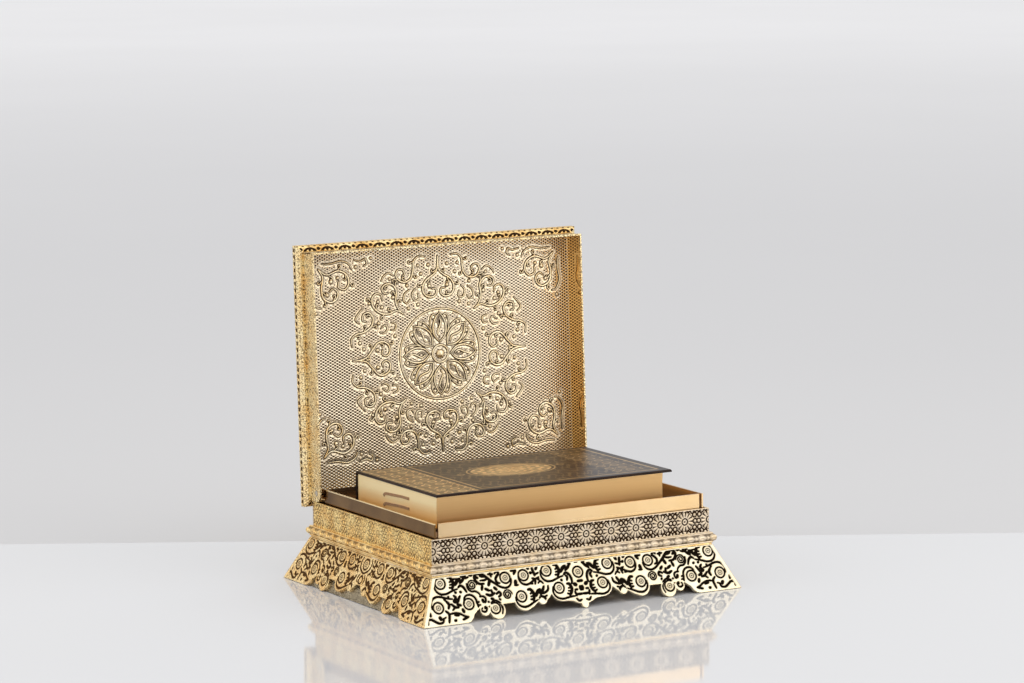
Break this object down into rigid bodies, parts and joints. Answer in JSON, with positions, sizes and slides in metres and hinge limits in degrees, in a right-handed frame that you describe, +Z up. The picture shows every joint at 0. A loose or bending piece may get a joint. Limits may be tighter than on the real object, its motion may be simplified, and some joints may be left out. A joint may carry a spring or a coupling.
{
  "type": "quran box",
  "caption": "Gilt metal book box on a flared scroll-work stand, with a hinged embossed lid that raises a tray and its book.",
  "frame": {"origin": "on the table, below the middle of the box", "axes": "+X to the right, +Y to the rear, where the lid's hinge is, +Z up"},
  "size_m": [0.327, 0.271, 0.3066],
  "materials": {
    "pale_gilt": "satin gilt with dark recesses",
    "gilt": "satin gilt with dark recesses",
    "polished_gilt": "polished",
    "champagne_gilt": "embossed satin gilt",
    "steel": "plain",
    "wood": "stained board",
    "book_cover": "glossy dark binding",
    "gilt_edges": "gilt page edges",
    "ribbon": "woven ribbon"
  },
  "bodies": {
    "base": {"skirt_front": "pale_gilt", "skirt_back": "pale_gilt", "skirt_left": "pale_gilt", "skirt_right": "pale_gilt", "moulding_front": "gilt", "moulding_back": "gilt", "moulding_left": "gilt", "moulding_right": "gilt", "band_front": "gilt", "band_back": "gilt", "band_left": "gilt", "band_right": "gilt", "liner_front": "polished_gilt", "liner_back": "polished_gilt", "liner_left": "polished_gilt", "liner_right": "polished_gilt", "corner_blocks": "wood", "floor_screws": "steel", "floor_plate": "gilt", "pivot_bushes": "steel", "guide_posts": "steel"},
    "lid": {"lid_panel": "champagne_gilt", "lid_wall_front": "gilt", "lid_wall_back": "gilt", "lid_wall_left": "gilt", "lid_wall_right": "gilt", "cornice_front": "gilt", "cornice_back": "gilt", "cornice_left": "gilt", "cornice_right": "gilt", "lift_arm_left": "steel", "lift_arm_right": "steel", "hinge_rod": "steel", "lift_pins": "steel"},
    "tray": {"tray_plate": "wood", "guide_bushes": "steel", "lift_bracket_left": "steel", "lift_bracket_right": "steel", "book_lower_cover": "book_cover", "book_upper_cover": "book_cover", "book_spine": "book_cover", "book_pages": "gilt_edges", "ribbon_upper": "ribbon", "ribbon_lower": "ribbon"}
  },
  "joints": [
    {"name": "lid_hinge", "type": "hinge", "parent": "base", "child": "lid", "pos_m": [0, 0.1065, 0.08048], "axis": [1, 0, 0], "range_deg": [0, 92]},
    {"name": "tray_lift", "type": "slide", "parent": "base", "child": "tray", "axis": [0, 0, 1], "range_m": [-0.022, 0]}
  ],
  "couplings": [
    {"joint": "tray_lift", "follows": "lid_hinge", "m_per_rad": -0.013701}
  ]
}
